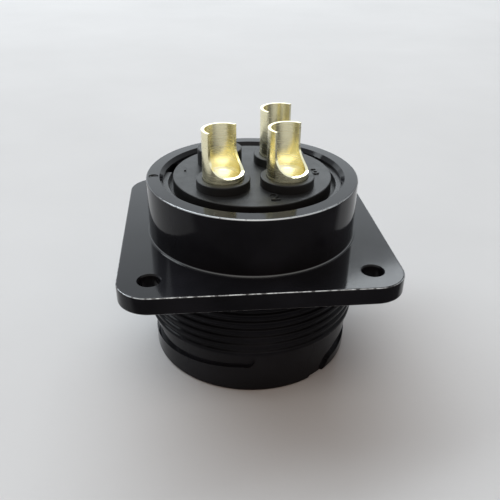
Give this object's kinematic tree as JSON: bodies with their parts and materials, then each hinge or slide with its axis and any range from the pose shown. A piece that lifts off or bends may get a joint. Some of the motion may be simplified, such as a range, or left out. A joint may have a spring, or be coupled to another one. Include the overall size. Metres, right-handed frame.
{
  "type": "circular power connector receptacle",
  "caption": "Square-flange panel receptacle of a circular power connector: black shell with thread and bayonet grooves, moulded insert, gold solder-cup contacts.",
  "frame": {"origin": "centre of the bolt pattern on the flange's rear face, where the connector's axis crosses that face", "axes": "+Z along the connector's axis from the mating face towards the solder cups; X and Y along the square flange's sides"},
  "size_m": [0.06, 0.06, 0.0567],
  "materials": {
    "shell": "gloss black coat",
    "insulator": "satin moulded",
    "contact": "pale gold plate, fine turned marks",
    "retaining_ring": "blackened spring steel",
    "seal": "matt"
  },
  "bodies": {
    "root": {"shell": "shell", "rear_insulator": "insulator", "front_insulator": "insulator", "contact_1": "contact", "contact_2": "contact", "contact_3": "contact", "retaining_ring": "retaining_ring", "insert_seal": "seal", "mating_gasket": "seal", "contact_seal_1": "seal", "contact_seal_2": "seal", "contact_seal_3": "seal"}
  },
  "joints": []
}
